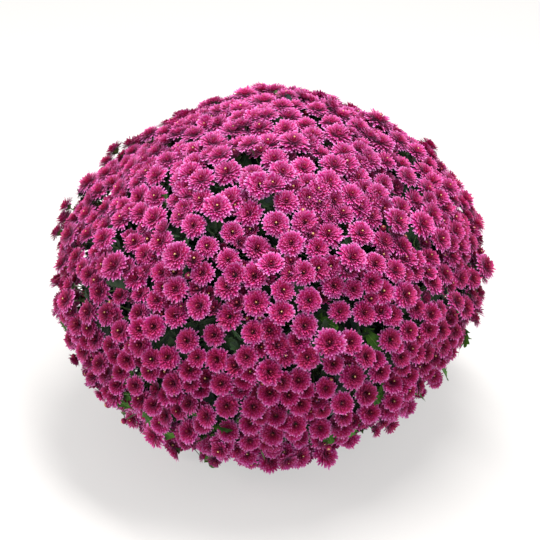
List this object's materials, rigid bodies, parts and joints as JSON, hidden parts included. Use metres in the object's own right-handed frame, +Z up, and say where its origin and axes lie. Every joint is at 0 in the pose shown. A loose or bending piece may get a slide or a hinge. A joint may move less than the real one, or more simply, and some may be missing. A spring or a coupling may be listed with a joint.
{
  "type": "potted chrysanthemum",
  "caption": "Flowering chrysanthemum grown as a flattened ball of double flowers over lobed leaves, standing in a plain round nursery pot filled with soil.",
  "frame": {"origin": "on the floor under the pot, below the middle of the plant's box", "axes": "+Z up out of the pot; the side seen first faces -Y, with +X to its right"},
  "size_m": [0.5184, 0.521, 0.4137],
  "materials": {
    "petals": "soft matte petals, paler at the tips",
    "foliage": "matte green leaf and stem",
    "soil": "moist peat and bark mix, matte",
    "pot": "moulded polypropylene, satin"
  },
  "bodies": {
    "root": {"pot": "pot", "soil": "soil", "foliage": "foliage", "spray_01": "petals", "spray_02": "petals", "spray_03": "petals", "spray_04": "petals", "spray_05": "petals", "spray_06": "petals", "spray_07": "petals", "spray_08": "petals", "spray_09": "petals", "spray_10": "petals", "spray_11": "petals", "spray_12": "petals", "spray_13": "petals", "spray_14": "petals", "spray_15": "petals", "spray_16": "petals", "spray_17": "petals", "spray_18": "petals", "spray_19": "petals", "spray_20": "petals", "spray_21": "petals", "spray_22": "petals", "spray_23": "petals", "spray_24": "petals", "spray_25": "petals", "spray_26": "petals", "spray_27": "petals", "spray_28": "petals", "spray_29": "petals", "spray_30": "petals", "spray_31": "petals", "spray_32": "petals", "spray_33": "petals", "spray_34": "petals", "spray_35": "petals", "spray_36": "petals", "spray_37": "petals", "spray_38": "petals", "spray_39": "petals", "spray_40": "petals"}
  },
  "joints": []
}
